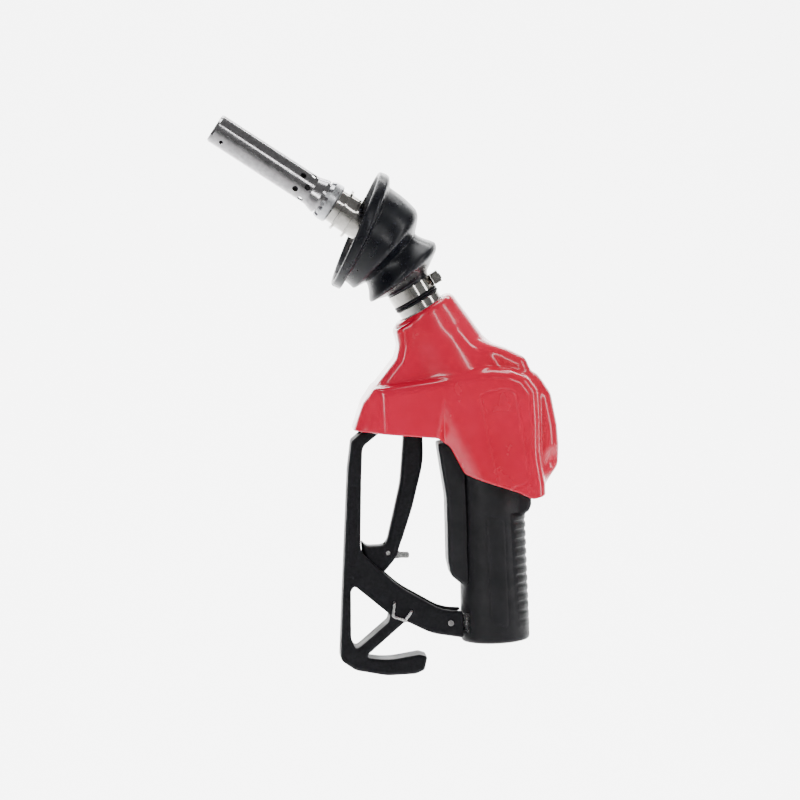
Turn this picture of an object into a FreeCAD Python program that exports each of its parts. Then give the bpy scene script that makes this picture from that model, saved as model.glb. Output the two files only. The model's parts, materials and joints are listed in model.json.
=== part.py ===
import FreeCAD, Part
import math
import os
import Sketcher

# Automatic fuel nozzle with a bent spout, a bellows guard, a pull-on cover and a guarded lever.
# Millimetres.  The origin is the centre of the hose inlet's mouth, +Z runs up the handle,
# +X points away from the spout and Y is the width.

Vector = FreeCAD.Vector
doc = FreeCAD.newDocument("fuel_nozzle")
sheet = doc.addObject("Spreadsheet::Sheet", "Dims")

DIMENSIONS = [
    ("spout_od", 21.0, "outer diameter of the spout"),
    ("spout_wall", 1.2, "wall of the spout tube"),
    ("spout_angle", 35.4, "spout axis above -X, degrees"),
    ("spout_length", 130.0, "tip to bend"),
    ("neck_angle", 61.6, "neck axis above -X, degrees"),
    ("neck_length", 60.0, "cover's opening to bend"),
    ("neck_x", -41.4, "centre of the cover's opening"),
    ("neck_z", 229.7, "centre of the cover's opening"),
    ("stem_tube_od", 22.5, "spout tube behind the flare"),
    ("fuel_tube_od", 15.6, "inner fuel tube"),
    ("bend_radius", 26.0, "centre-line radius of the spout's bend"),
    ("boot_mouth_od", 84.0, "bellows guard at its rim"),
    ("boot_wall", 2.4, "rubber wall of the bellows guard"),
    ("grip_od", 47.0, "hand grip at the inlet end"),
    ("grip_top_od", 43.0, "hand grip at the cover end"),
    ("grip_length", 110.0, "hand grip, its top inside the cover"),
    ("handle_od", 38.6, "metal handle tube"),
    ("thread_bore", 32.4, "minor diameter of the hose thread M34 x 1.5"),
    ("adapter_length", 22.0, "hose adapter"),
    ("thread_length", 17.5, "threaded depth of the hose adapter"),
    ("guard_width", 25.0, "lever guard across both plates"),
    ("channel_width", 18.0, "channel between the guard's plates"),
    ("lever_width", 15.0, "lever"),
    ("pivot_x", -52.0, "lever pivot"),
    ("pivot_z", 168.0, "lever pivot"),
    ("pivot_pin", 5.0, "lever pivot pin diameter"),
    ("valve_z", 150.0, "height of the main valve's axis"),
    ("stem_od", 6.0, "main valve stem"),
    ("slip", 0.05, "radial clearance of running fits"),
    ("cover_width", 62.0, "cover over its side slabs"),
    ("cover_mid_width", 46.0, "cover over its shoulder and nose"),
    ("cover_wall", 3.0, "vinyl wall of the cover"),
    ("wire_od", 2.0, "hold-open staple wire"),
]

for row, (alias, value, note) in enumerate(DIMENSIONS, start=1):
    sheet.set("A%d" % row, note)
    sheet.set("B%d" % row, str(value))
    sheet.setAlias("B%d" % row, alias)
doc.recompute()

nodes = {}


def size(alias):
    """The value of one driving dimension."""
    return float(sheet.get(alias))


def number(term):
    """A plain number, from a number or an expression on the sheet."""
    if isinstance(term, str):
        return float(sheet.evalExpression(term))
    return float(term)


def keep(label, item, placement=None):
    """Register a finished sub-part under the name of its file."""
    item.Label = label
    if placement is not None:
        item.Placement = placement
    nodes[label] = item
    return item


def along(point, direction):
    """A placement whose local Z axis starts at point and runs along direction."""
    turn = FreeCAD.Rotation(Vector(0, 0, 1), direction)
    return FreeCAD.Placement(point, turn)


def heading(angle):
    """Unit vector at angle degrees above -X in the XZ plane."""
    radians = math.radians(angle)
    return Vector(-math.cos(radians), 0, math.sin(radians))


SPOUT_DIR = heading(size("spout_angle"))
NECK_DIR = heading(size("neck_angle"))
NECK_POINT = Vector(size("neck_x"), 0, size("neck_z"))
BEND_POINT = NECK_POINT + NECK_DIR * size("neck_length")
SPOUT_FRAME = along(BEND_POINT, SPOUT_DIR)
NECK_FRAME = along(NECK_POINT, NECK_DIR)
VALVE_FRAME = along(Vector(0, 0, size("valve_z")), Vector(1, 0, 0))
PIVOT_FRAME = along(Vector(0, 0, size("pivot_z")), Vector(1, 0, 0))


# ---------------------------------------------------------------- sketch and feature helpers

def new_body(label, placement=None):
    """An empty PartDesign body registered as a sub-part."""
    return keep(label, doc.addObject("PartDesign::Body", label), placement)


def new_sketch(body, role="XZ_Plane", offset=0.0):
    """A sketch on one of the body's own origin planes."""
    sketch = body.newObject("Sketcher::SketchObject", body.Name + "_sketch")
    plane = [item for item in body.Origin.OriginFeatures if item.Role == role][0]
    sketch.AttachmentSupport = [(plane, "")]
    sketch.MapMode = "FlatFace"
    sketch.AttachmentOffset = FreeCAD.Placement(Vector(0, 0, offset), FreeCAD.Rotation())
    return sketch


def draw_polygon(sketch, corners):
    """A closed polygon whose corners are held by dimensions, bound to the sheet where they name it."""
    places = [Vector(number(x), number(y), 0) for x, y in corners]
    count = len(places)
    first = sketch.GeometryCount
    for index in range(count):
        line = Part.LineSegment(places[index], places[(index + 1) % count])
        sketch.addGeometry(line, False)
    for index in range(count):
        following = first + (index + 1) % count
        sketch.addConstraint(Sketcher.Constraint("Coincident", first + index, 2, following, 1))
    for index, (x, y) in enumerate(corners):
        for kind, term, value in (("DistanceX", x, places[index].x), ("DistanceY", y, places[index].y)):
            held = sketch.addConstraint(Sketcher.Constraint(kind, first + index, 1, value))
            if isinstance(term, str):
                sketch.setExpression("Constraints[%d]" % held, term)


def draw_circle(sketch, x, y, radius):
    """A circle whose radius and centre are dimensions."""
    geometry = Part.Circle(Vector(number(x), number(y), 0), Vector(0, 0, 1), number(radius))
    index = sketch.addGeometry(geometry, False)
    held = sketch.addConstraint(Sketcher.Constraint("Radius", index, number(radius)))
    if isinstance(radius, str):
        sketch.setExpression("Constraints[%d]" % held, radius)
    for kind, term in (("DistanceX", x), ("DistanceY", y)):
        held = sketch.addConstraint(Sketcher.Constraint(kind, index, 3, number(term)))
        if isinstance(term, str):
            sketch.setExpression("Constraints[%d]" % held, term)


CORNER_SHARE = 0.49


def rounded_edges(corners, closed=True):
    """Lines and tangent arcs through (x, y) or (x, y, radius) corners; short runs limit the radius."""
    places = [Vector(corner[0], corner[1], 0) for corner in corners]
    radii = [corner[2] if len(corner) > 2 else 0.0 for corner in corners]
    count = len(places)
    stops = []
    for index, place in enumerate(places):
        radius = radii[index]
        is_end = not closed and index in (0, count - 1)
        if radius <= 0 or is_end:
            stops.append((place, None, place))
            continue
        back = (places[index - 1] - place).normalize()
        ahead = (places[(index + 1) % count] - place).normalize()
        half = back.getAngle(ahead) / 2
        shorter = min((places[index - 1] - place).Length, (places[(index + 1) % count] - place).Length)
        reach = min(radius / math.tan(half), CORNER_SHARE * shorter)
        radius = reach * math.tan(half)
        middle = (back + ahead).normalize()
        centre = place + middle * (radius / math.sin(half))
        stops.append((place + back * reach, centre - middle * radius, place + ahead * reach))
    edges = []
    for index, (start, mid, end) in enumerate(stops):
        if mid is not None:
            edges.append(Part.Arc(start, mid, end))
        if closed or index < count - 1:
            following = stops[(index + 1) % count][0]
            if (following - end).Length > 1e-6:
                edges.append(Part.LineSegment(end, following))
    return edges


def join_ends(sketch, first, second):
    """Hold together whichever ends of two neighbouring edges meet."""
    pairs = [(one, other) for one in (1, 2) for other in (1, 2)]
    gaps = [(sketch.getPoint(first, one) - sketch.getPoint(second, other)).Length for one, other in pairs]
    one, other = pairs[gaps.index(min(gaps))]
    sketch.addConstraint(Sketcher.Constraint("Coincident", first, one, second, other))


def draw_outline(sketch, corners, closed=True):
    """An outline of straight runs joined by tangent arcs."""
    edges = rounded_edges(corners, closed)
    first = sketch.GeometryCount
    sketch.addGeometry(edges, False)
    count = len(edges)
    for index in range(count if closed else count - 1):
        join_ends(sketch, first + index, first + (index + 1) % count)


def add_pad(body, sketch, width):
    """A pad symmetric about the sketch's plane; width may be an expression."""
    pad = body.newObject("PartDesign::Pad", body.Name + "_pad")
    pad.Profile = sketch
    pad.SideType = "Symmetric"
    pad.Length = number(width)
    if isinstance(width, str):
        pad.setExpression("Length", width)
    return pad


def add_pocket(body, sketch, width):
    """A pocket symmetric about the sketch's plane; width may be an expression."""
    pocket = body.newObject("PartDesign::Pocket", body.Name + "_pocket")
    pocket.Profile = sketch
    pocket.SideType = "Symmetric"
    pocket.Length = number(width)
    if isinstance(width, str):
        pocket.setExpression("Length", width)
    return pocket


def add_revolution(body, sketch, kind="PartDesign::Revolution"):
    """A full turn of the sketch about its vertical axis."""
    turned = body.newObject(kind, body.Name + "_turned")
    turned.Profile = sketch
    turned.ReferenceAxis = (sketch, ["V_Axis"])
    turned.Angle = 360
    return turned


def turned_part(label, corners, placement=None):
    """A turned piece from its half section, (radius, height) corners about local Z."""
    body = new_body(label, placement)
    sketch = new_sketch(body)
    draw_polygon(sketch, corners)
    add_revolution(body, sketch)
    return body


def ring_part(label, inner, outer, low, high, placement=None):
    """A plain ring or bush."""
    corners = [(inner, low), (outer, low), (outer, high), (inner, high)]
    return turned_part(label, corners, placement)


def flat_part(label, corners, width, placement=None):
    """A flat piece of the given width across Y from its rounded outline in the XZ plane."""
    body = new_body(label, placement)
    sketch = new_sketch(body)
    draw_outline(sketch, corners)
    add_pad(body, sketch, width)
    return body


def cut_holes(body, circles, width):
    """Round holes along Y; circles are (x, z, radius)."""
    for x, z, radius in circles:
        sketch = new_sketch(body)
        draw_circle(sketch, x, z, radius)
        add_pocket(body, sketch, width)


def cut_window(body, corners, width):
    """A rounded window or slot of the given width across Y."""
    sketch = new_sketch(body)
    draw_outline(sketch, corners)
    add_pocket(body, sketch, width)


def cylinder(name, radius, height, placement):
    """A helper cylinder; radius and height may be expressions."""
    item = doc.addObject("Part::Cylinder", name)
    item.Radius = number(radius)
    item.Height = number(height)
    if isinstance(radius, str):
        item.setExpression("Radius", radius)
    if isinstance(height, str):
        item.setExpression("Height", height)
    item.Placement = placement
    return item


def block(name, low, high):
    """A helper box between two corners."""
    item = doc.addObject("Part::Box", name)
    item.Length = high[0] - low[0]
    item.Width = high[1] - low[1]
    item.Height = high[2] - low[2]
    item.Placement = FreeCAD.Placement(Vector(*low), FreeCAD.Rotation())
    return item


def fuse(name, items):
    """One solid from several."""
    result = doc.addObject("Part::MultiFuse", name)
    result.Shapes = items
    return result


def cut(name, base, tool):
    """base less tool."""
    result = doc.addObject("Part::Cut", name)
    result.Base = base
    result.Tool = tool
    return result


def group(label, items):
    """Identical separate solids that share one node."""
    compound = doc.addObject("Part::Compound", label)
    compound.Links = items
    return keep(label, compound)


def coil(label, radius, wire_radius, pitch, height, placement):
    """A helical spring about local Z."""
    spine = doc.addObject("Part::Helix", label + "_spine")
    spine.Radius = radius
    spine.Pitch = pitch
    spine.Height = height
    section = doc.addObject("Part::Circle", label + "_wire")
    section.Radius = wire_radius
    section.Placement = FreeCAD.Placement(Vector(radius, 0, 0), FreeCAD.Rotation(Vector(1, 0, 0), 90))
    spring = doc.addObject("Part::Sweep", label)
    spring.Sections = [section]
    spring.Spine = (spine, [])
    spring.Solid = True
    spring.Frenet = True
    return keep(label, spring, placement)


def add_pipe(body, section_offset, radii, path, kind):
    """A pipe along a path in the body's XZ plane, from a round section on its XY plane."""
    section = new_sketch(body, "XY_Plane", section_offset)
    for radius in radii:
        draw_circle(section, radius[0], 0, radius[1])
    spine = new_sketch(body)
    draw_outline(spine, path, closed=False)
    pipe = body.newObject(kind, body.Name + "_pipe")
    pipe.Profile = section
    pipe.Spine = spine
    return pipe


# ---------------------------------------------------------------- spout

LENGTH = size("spout_length")
BEND_TURN = math.radians(size("neck_angle") - size("spout_angle"))
FLARE_Z = LENGTH - 86.0
SPOUT_ROOT = size("neck_length") + 12.0


def bent_path(top, depth):
    """Straight down from top, round the bend and on along the neck for depth."""
    end = (-depth * math.sin(BEND_TURN), -depth * math.cos(BEND_TURN))
    return [(0, top), (0, 0, size("bend_radius")), end]


def make_spout_tube():
    """The outer tube: slotted nose, vapour holes, flare and the bent shank into the neck."""
    body = new_body("spout_tube", SPOUT_FRAME)
    sketch = new_sketch(body)
    bore = "Dims.spout_od / 2 - Dims.spout_wall"
    shank = "Dims.stem_tube_od / 2"
    draw_polygon(sketch, [
        (bore, "Dims.spout_length - 1"),
        ("Dims.spout_od / 2 - 0.8", "Dims.spout_length"),
        ("Dims.spout_od / 2", "Dims.spout_length - 1.5"),
        ("Dims.spout_od / 2", FLARE_Z + 8),
        (12.5, FLARE_Z + 1.5),
        (12.5, FLARE_Z),
        (shank, FLARE_Z),
        (shank, FLARE_Z - 10),
        (shank + " - Dims.spout_wall", FLARE_Z - 10),
        (shank + " - Dims.spout_wall", FLARE_Z + 2),
        (bore, FLARE_Z + 8),
    ])
    add_revolution(body, sketch)
    start = FLARE_Z - 10
    rings = [(0, shank), (0, shank + " - Dims.spout_wall")]
    add_pipe(body, start, rings, bent_path(start, SPOUT_ROOT), "PartDesign::AdditivePipe")
    for distance, first_turn in ((67.6, 30), (74.1, 0)):
        hole = new_sketch(body, "XZ_Plane")
        draw_circle(hole, 0, LENGTH - distance, 2.0)
        pocket = add_pocket(body, hole, 30)
        pattern = body.newObject("PartDesign::PolarPattern", body.Name + "_ring")
        pattern.Originals = [pocket]
        pattern.Axis = (hole, ["V_Axis"])
        pattern.Angle = 180
        pattern.Occurrences = 3 + 1
        if first_turn:
            hole.AttachmentOffset = FreeCAD.Placement(
                Vector(0, 0, 0), FreeCAD.Rotation(Vector(0, 1, 0), first_turn))
        body.Tip = pattern
    vent = new_sketch(body, "XZ_Plane")
    vent.AttachmentOffset = FreeCAD.Placement(Vector(0, 0, 0), FreeCAD.Rotation(Vector(0, 1, 0), -37))
    draw_circle(vent, 0, LENGTH - 9.0, 1.5)
    eye = body.newObject("PartDesign::Pocket", body.Name + "_vent")
    eye.Profile = vent
    eye.Length = 15
    eye.Reversed = True
    return body


make_spout_tube()

inner_tube = new_body("fuel_tube", SPOUT_FRAME)
INNER_TOP = LENGTH - 12.0
add_pipe(inner_tube, INNER_TOP, [(0, "Dims.fuel_tube_od / 2"), (0, "Dims.fuel_tube_od / 2 - 0.8")],
         bent_path(INNER_TOP, SPOUT_ROOT + 2), "PartDesign::AdditivePipe")

vent_tube = new_body("vent_tube", SPOUT_FRAME)
VENT_OFFSET = 4.6


def make_vent_tube():
    """The small sensing tube inside the fuel tube, off centre."""
    top = LENGTH - 11.0
    section = new_sketch(vent_tube, "XY_Plane", top)
    draw_circle(section, VENT_OFFSET, 0, 2.0)
    draw_circle(section, VENT_OFFSET, 0, 1.4)
    spine = new_sketch(vent_tube)
    start, bend, end = bent_path(top, SPOUT_ROOT + 1)
    lift = VENT_OFFSET * math.tan(BEND_TURN / 2)
    far = (end[0] + VENT_OFFSET * math.cos(BEND_TURN), end[1] - VENT_OFFSET * math.sin(BEND_TURN))
    draw_outline(spine, [(VENT_OFFSET, start[1]), (VENT_OFFSET, -lift, bend[2] + VENT_OFFSET), far],
                 closed=False)
    pipe = vent_tube.newObject("PartDesign::AdditivePipe", "vent_tube_pipe")
    pipe.Profile = section
    pipe.Spine = spine


make_vent_tube()

ring_part("nose_ring", "Dims.fuel_tube_od / 2 + 0.02", "Dims.spout_od / 2 - Dims.spout_wall - 0.02",
          LENGTH - 16.5, LENGTH - 13.5, SPOUT_FRAME)


def make_spout_collar():
    """The faceted zinc collar with twelve notches round its front edge."""
    body = new_body("spout_collar", SPOUT_FRAME)
    sketch = new_sketch(body)
    low = FLARE_Z - 10.0
    draw_polygon(sketch, [
        ("Dims.stem_tube_od / 2 + 0.02", low), (13.2, low), (14.0, low + 1.2),
        (14.0, low + 6.6), (12.9, low + 8.8), ("Dims.stem_tube_od / 2 + 0.02", low + 8.8)])
    add_revolution(body, sketch)
    notch = new_sketch(body, "XZ_Plane")
    draw_outline(notch, [(-1.5, low + 9.5), (-1.5, low + 6.0, 0.6), (1.5, low + 6.0, 0.6),
                         (1.5, low + 9.5)])
    slot = body.newObject("PartDesign::Pocket", "collar_notch")
    slot.Profile = notch
    slot.SideType = "Symmetric"
    slot.Length = 40
    ring = body.newObject("PartDesign::PolarPattern", "collar_notches")
    ring.Originals = [slot]
    ring.Axis = (notch, ["V_Axis"])
    ring.Angle = 180
    ring.Occurrences = 7
    body.Tip = ring


make_spout_collar()

turned_part("spout_spacer", [
    ("Dims.stem_tube_od / 2 + 0.02", LENGTH - 101.0), (12.0, LENGTH - 101.0),
    (12.0, LENGTH - 96.2), ("Dims.stem_tube_od / 2 + 0.02", LENGTH - 96.2)], SPOUT_FRAME)
ring_part("spout_washer", "Dims.stem_tube_od / 2 + 0.02", 15.25, LENGTH - 102.8, LENGTH - 101.1, SPOUT_FRAME)
turned_part("guard_spool", [
    ("Dims.stem_tube_od / 2 + 0.02", LENGTH - 119.0), (12.75, LENGTH - 119.0), (12.75, LENGTH - 112.0),
    (15.85, LENGTH - 112.0), (15.85, LENGTH - 110.4), (12.75, LENGTH - 110.4),
    (12.75, LENGTH - 103.0), ("Dims.stem_tube_od / 2 + 0.02", LENGTH - 103.0)], SPOUT_FRAME)

# ---------------------------------------------------------------- bellows guard

BOOT_RIM = (Vector(-82.0, 0, 284.9), 25.8)
BOOT_BACK = (Vector(-75.7, 0, 281.4), 29.0)
BOOT_WAIST = (Vector(-72.5, 0, 278.8), 33.0)
BOOT_CREST = (Vector(-65.2, 0, 271.9), 41.5)
BOOT_VALLEY = (Vector(-60.6, 0, 264.2), 47.7)
BOOT_CREST_2 = (Vector(-53.1, 0, 254.7), 51.4)
BOOT_CUFF = (Vector(-51.0, 0, 246.8), 59.0)


def boot_loft(name, stations):
    """A ruled loft through circles square to a drooping axis; stations are (place, radius)."""
    rings = []
    for index, ((centre, angle), radius) in enumerate(stations):
        ring = doc.addObject("Part::Circle", "%s_%d" % (name, index))
        ring.Radius = number(radius)
        if isinstance(radius, str):
            ring.setExpression("Radius", radius)
        ring.Placement = along(centre, heading(angle))
        rings.append(ring)
    loft = doc.addObject("Part::Loft", name)
    loft.Sections = rings
    loft.Solid = True
    loft.Ruled = True
    return loft


def slid(station, distance):
    """A boot station moved outward along its own axis."""
    centre, angle = station
    return (centre + heading(angle) * distance, angle)


def boot_part(label, stations):
    """A hollow stretch of the guard, open at both ends."""
    outer = boot_loft(label + "_outer", stations)
    inner_stations = [(place, radius + " - Dims.boot_wall") for place, radius in stations]
    first_place, first_radius = inner_stations[0]
    last_place, last_radius = inner_stations[-1]
    inner_stations[0] = (slid(first_place, 0.5), first_radius)
    inner_stations[-1] = (slid(last_place, -0.5), last_radius)
    inner = boot_loft(label + "_inner", inner_stations)
    return keep(label, cut(label, outer, inner))


BEAD_BACK = (BOOT_RIM[0] - heading(25.8) * 5.0, 25.8)
boot_part("boot_mouth", [
    (BOOT_RIM, "Dims.boot_mouth_od / 2"), (BEAD_BACK, "Dims.boot_mouth_od / 2"),
    (BOOT_BACK, "Dims.boot_mouth_od / 2 - 4.5"), (BOOT_WAIST, "33.6"), (BOOT_CREST, "33.2")])
boot_part("boot_bellows", [
    (slid(BOOT_CREST, -0.4), "33.0"), (slid(BOOT_CREST, -2.5), "31.8"), (BOOT_VALLEY, "23.6"),
    (slid(BOOT_CREST_2, 1.5), "29.3"), (slid(BOOT_CREST_2, -1.5), "29.0"), (BOOT_CUFF, "17.2")])
NECK_BARB = 13.6
turned_part("boot_cuff", [
    (NECK_BARB + 0.02, 9.0), (15.4, 9.0), (15.4, 17.6), (16.0, 19.0), (NECK_BARB + 0.02, 19.0)], NECK_FRAME)
coil("boot_spring", 17.2, 0.9, 7.0, 21.0, along(Vector(-53.6, 0, 253.2), heading(55.0)))

# ---------------------------------------------------------------- neck and clamp

neck_bush = turned_part("spout_bush", [
    ("Dims.stem_tube_od / 2 + 0.02", -14.0), (7.5, -14.0), (7.5, -17.0), (14.2, -17.0), (14.2, 0.05),
    (15.35, 0.3), (15.35, 5.0), (NECK_BARB, 5.0), (NECK_BARB, 20.0),
    ("Dims.stem_tube_od / 2 + 0.02", 20.0)],
    NECK_FRAME)


def neck_rings():
    """Two sealing rings seated on the bush below the clamp."""
    rings = []
    for index, height in enumerate((6.2, 8.0)):
        ring = doc.addObject("Part::Torus", "neck_ring_%d" % index)
        ring.Radius1 = 15.2
        ring.Radius2 = 0.88
        ring.Placement = along(NECK_POINT + NECK_DIR * height, NECK_DIR)
        rings.append(ring)
    group("neck_orings", rings)


neck_rings()
ring_part("clamp_band", 15.42, 16.0, 9.4, 17.2, NECK_FRAME)

CLAMP_SIDE = Vector(math.sin(math.radians(size("neck_angle"))), 0, math.cos(math.radians(size("neck_angle"))))


def clamp_place(radius, height):
    """A point on the clamp's screw side, in the neck's own plane of symmetry."""
    return NECK_POINT + NECK_DIR * height + CLAMP_SIDE * radius


housing_raw = doc.addObject("Part::Box", "clamp_housing_raw")
housing_raw.Length = 5.4
housing_raw.Width = 11.0
housing_raw.Height = 8.0
housing_raw.Placement = FreeCAD.Placement(clamp_place(16.05, 9.3), NECK_FRAME.Rotation).multiply(
    FreeCAD.Placement(Vector(0, -5.5, 0), FreeCAD.Rotation()))
housing_bore = cylinder("clamp_housing_bore", 2.1, 12.0, along(clamp_place(18.9, 13.3) + Vector(0, -6, 0),
                                                              Vector(0, 1, 0)))
keep("clamp_housing", cut("clamp_housing", housing_raw, housing_bore))
screw_shaft = cylinder("clamp_screw_shaft", 2.05, 15.0, along(clamp_place(18.9, 13.3) + Vector(0, -8, 0),
                                                             Vector(0, 1, 0)))
screw_head = doc.addObject("Part::Prism", "clamp_screw_head")
screw_head.Polygon = 6
screw_head.Circumradius = 3.6
screw_head.Height = 2.6
screw_head.Placement = along(clamp_place(18.9, 13.3) + Vector(0, -10.4, 0), Vector(0, 1, 0))
keep("clamp_screw", fuse("clamp_screw", [screw_shaft, screw_head]))

# ---------------------------------------------------------------- body casting

POCKET_RIGHT = -35.5
GUIDE_SEAT = -25.0


def make_casting():
    """The aluminium body: handle tube, valve chamber, lever pocket and neck, with their bores."""
    valve_z = size("valve_z")
    chamber = doc.addObject("PartDesign::Body", "casting_chamber")
    sketch = new_sketch(chamber)
    draw_outline(sketch, [
        (-16.5, 118), (19, 118, 4), (34, 132, 4), (34, 167, 6), (20, 180, 8), (-14, 186, 8), (-34, 198, 8),
        (-58, 188, 8), (-69, 176, 4), (-69, 163, 2), (-33, 163, 2), (-33, 141, 3), (-16.5, 141, 2)])
    add_pad(chamber, sketch, 38.0)
    solids = [
        cylinder("casting_handle", "Dims.handle_od / 2", 116.0, along(Vector(0, 0, 22), Vector(0, 0, 1))),
        chamber,
        cylinder("casting_neck", 17.0, 60.0, along(NECK_POINT - NECK_DIR * 60.0, NECK_DIR)),
        block("casting_ear", (-82.5, -6, 150.5), (-62, 6, 162)),
        block("casting_cheek_near", (-66, -15, 150), (-33, -11.5, 178)),
        block("casting_cheek_far", (-66, 11.5, 150), (-33, 15, 178)),
    ]
    solid = fuse("casting_solid", solids)
    up = Vector(0, 0, 1)
    right = Vector(1, 0, 0)
    cavities = [
        block("lever_pocket", (-67, -10.5, 130), (POCKET_RIGHT, 10.5, 178)),
        cylinder("inlet_bore", 13.0, 99.0, along(Vector(0, 0, 21), up)),
        block("valve_passage", (5, -9, 117), (14, 9, 142)),
        cylinder("valve_chamber", 15.5, 31.5, along(Vector(3, 0, valve_z), right)),
        cylinder("seat_bore", 10.0, 6.0, along(Vector(-1.5, 0, valve_z), right)),
        cylinder("outlet_chamber", 12.0, 20.0, along(Vector(-20, 0, valve_z), right)),
        block("outlet_rise", (-18, -8, 150), (-2, 8, 168)),
        cylinder("outlet_passage", 12.0, 60.0, along(NECK_POINT - NECK_DIR * 74.0, NECK_DIR)),
        cylinder("bush_socket", 14.22, 18.0, along(NECK_POINT - NECK_DIR * 17.0, NECK_DIR)),
        cylinder("stem_hole", 3.3, 24.0, along(Vector(-40, 0, valve_z), right)),
        cylinder("packing_hole", 6.0, 13.0, along(Vector(POCKET_RIGHT - 1, 0, valve_z), right)),
        cylinder("guide_seat", 11.6, GUIDE_SEAT - POCKET_RIGHT + 1,
                 along(Vector(POCKET_RIGHT - 1, 0, size("pivot_z")), right)),
        cylinder("guard_hole", 2.6, 14.0, along(Vector(-78.5, -7, 156), Vector(0, 1, 0))),
    ]
    keep("body_casting", cut("body_casting", solid, fuse("casting_cavities", cavities)))


make_casting()

# ---------------------------------------------------------------- handle

turned_part("hose_adapter", [
    ("Dims.thread_bore / 2", 0.0), (18.6, 0.0), ("Dims.handle_od / 2", 0.8),
    ("Dims.handle_od / 2", "Dims.adapter_length - 0.05"), (13.6, "Dims.adapter_length - 0.05"),
    (13.6, 19.9), (17.2, 19.9), (17.2, "Dims.thread_length"),
    ("Dims.thread_bore / 2", "Dims.thread_length")])
ring_part("inlet_seal", 14.2, 17.15, "Dims.thread_length + 0.1", 19.8)


ring_part("vapor_tube", 5.4, 6.4, 23.0, 116.5)


def make_grip():
    """The rubber hand grip with thirteen ribs on its rear."""
    body = new_body("grip_sleeve")
    sketch = new_sketch(body)
    bore = "Dims.handle_od / 2 + 0.02"
    draw_polygon(sketch, [
        (bore, 0.6), ("Dims.grip_od / 2 - 1.6", 0.6), ("Dims.grip_od / 2", 2.8), ("Dims.grip_od / 2", 8.0),
        ("Dims.grip_top_od / 2", 86.0), ("Dims.grip_top_od / 2", "Dims.grip_length"),
        (bore, "Dims.grip_length")])
    add_revolution(body, sketch)
    rib = new_sketch(body)
    low = 10.0
    draw_polygon(rib, [(20.5, low), (23.6, low + 0.8), (23.6, low + 3.4), (20.5, low + 4.2)])
    bump = body.newObject("PartDesign::Revolution", "grip_rib")
    bump.Profile = rib
    bump.ReferenceAxis = (rib, ["V_Axis"])
    bump.Angle = 110
    bump.Midplane = True
    ribs = body.newObject("PartDesign::LinearPattern", "grip_ribs")
    ribs.Originals = [bump]
    ribs.Direction = (rib, ["V_Axis"])
    ribs.Length = 12 * 6.1
    ribs.Occurrences = 13
    body.Tip = ribs


make_grip()


def make_finger_rest():
    """The moulded finger rest clipped to the front of the grip."""
    blank = doc.addObject("PartDesign::Body", "finger_rest_blank")
    sketch = new_sketch(blank)
    draw_outline(sketch, [
        (-14, 40.5), (-22.3, 40.9, 3), (-29.5, 47.5, 5), (-31.4, 57.0, 8), (-30.7, 100.8, 60),
        (-33.4, 122.0, 60),
        (-35.2, 138.0, 2), (-14, 139.5)])
    add_pad(blank, sketch, 29.0)
    room = doc.addObject("PartDesign::Body", "finger_rest_room")
    section = new_sketch(room)
    draw_polygon(section, [
        (0, 30), ("Dims.grip_od / 2 + 0.1", 30), ("Dims.grip_top_od / 2 + 1.2", 86.5),
        ("Dims.grip_top_od / 2 + 0.6", 100), ("Dims.grip_top_od / 2 + 0.6", 145), (0, 145)])
    add_revolution(room, section)
    keep("finger_rest", cut("finger_rest", blank, room))


make_finger_rest()

# ---------------------------------------------------------------- lever guard

GUARD_OUTLINE = [
    (-84.0, 160.0, 5), (-84.0, 149.5, 2), (-93.4, 142.0, 3), (-96.6, 122.0, 30), (-104.0, 33.6, 80),
    (-107.2, -7.0, 6), (-97.0, -14.5, 12), (-76.0, -19.2, 40), (-56.0, -19.0, 12), (-50.0, -16.5, 3),
    (-47.6, -7.4, 1.6), (-53.0, -5.6, 4), (-75.0, -8.6, 60), (-90.5, -6.0, 2.2), (-61.6, 17.6, 3),
    (-44.3, 8.3, 40), (-20.0, 3.6), (-20.0, 22.6), (-36.0, 23.8, 40), (-64.6, 41.4, 60), (-90.4, 66.5, 12),
    (-87.7, 115.0, 80), (-86.0, 138.0, 8), (-74.5, 146.5, 3), (-71.0, 150.0, 3), (-71.0, 160.0, 5)]


def make_guard():
    """Two side plates joined by a web: post, arch channel, brace and hanging hook."""
    body = doc.addObject("PartDesign::Body", "guard_blank")
    sketch = new_sketch(body)
    draw_outline(sketch, GUARD_OUTLINE)
    add_pad(body, sketch, "Dims.guard_width")
    cut_window(body, [(-95.6, 43.6, 1.5), (-72.0, 22.6, 1.2), (-73.4, 17.6, 1.2), (-96.4, -0.8, 1.5),
                      (-99.2, 8.0, 1.5), (-98.0, 40.0, 2)], 40.0)
    cut_window(body, [(-94.6, 86.0, 2), (-96.6, 50.0, 2), (-93.0, 46.0, 3), (-67.0, 23.4, 4),
                      (-60.6, 20.8, 4),
                      (-45.0, 12.0, 20), (-30.0, 8.4), (-10.0, 8.4), (-10.0, 60.0), (-60.0, 90.0)],
               "Dims.channel_width")
    cut_window(body, [(-100.0, 146.0), (-60.0, 146.0), (-60.0, 170.0), (-100.0, 170.0)], 12.6)
    cut_holes(body, [(-78.5, 156.0, 2.55), (-31.0, 15.0, 2.05), (-68.9, 30.7, 1.05),
                     (-57.6, 24.2, 1.05)], 40.0)
    room = cylinder("guard_room", 25.5, 60.0, FreeCAD.Placement(Vector(0, 0, -10), FreeCAD.Rotation()))
    keep("lever_guard", cut("lever_guard", body, room))


make_guard()


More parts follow.
